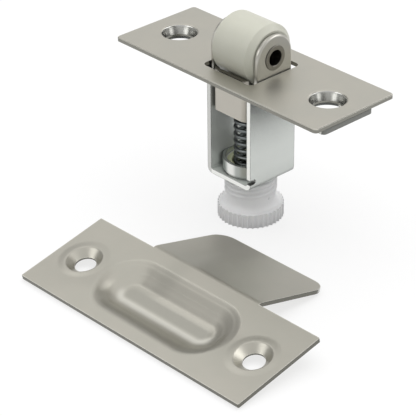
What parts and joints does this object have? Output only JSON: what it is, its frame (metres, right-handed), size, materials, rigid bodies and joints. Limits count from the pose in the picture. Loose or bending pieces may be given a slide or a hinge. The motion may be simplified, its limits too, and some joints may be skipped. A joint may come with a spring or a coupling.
{
  "type": "roller catch",
  "caption": "Adjustable roller catch: a sprung roller in a fork stands out of a screw-fixed face plate, with a knurled spring adjuster below and a lipped strike plate.",
  "frame": {"origin": "centre of the face plate's outer face, on the roller catch's own vertical axis", "axes": "+Z out of the door edge, the way the roller stands proud; +X along the face plate; +Y across it"},
  "size_m": [0.0885, 0.071, 0.0507],
  "materials": {
    "plated_face": "satin nickel plate",
    "plated_strip": "bright zinc plate",
    "roller_nylon": "smooth natural nylon",
    "knob_nylon": "smooth white nylon",
    "spring_wire": "drawn spring wire"
  },
  "bodies": {
    "housing": {"face_plate": "plated_face", "mounting_bracket": "plated_strip", "spring": "spring_wire", "strike_plate": "plated_face"},
    "carriage": {"slide_carriage": "plated_strip", "roller_fork": "plated_strip", "axle_rivet": "plated_strip"},
    "roller_body": {"roller": "roller_nylon"},
    "knob": {"adjusting_knob": "knob_nylon"}
  },
  "joints": [
    {"name": "carriage_slide", "type": "slide", "parent": "housing", "child": "carriage", "axis": [0, 0, -1], "range_m": [0, 0.003], "stiffness_N_per_m": 1400, "springref_m": -0.008, "deforming": ["spring"]},
    {"name": "roller_spin", "type": "hinge", "parent": "carriage", "child": "roller_body", "pos_m": [0, 0, 0.0043], "axis": [1, 0, 0], "continuous": true},
    {"name": "knob_turn", "type": "hinge", "parent": "housing", "child": "knob", "pos_m": [0, 0, -0.03], "axis": [0, 0, 1], "continuous": true}
  ]
}
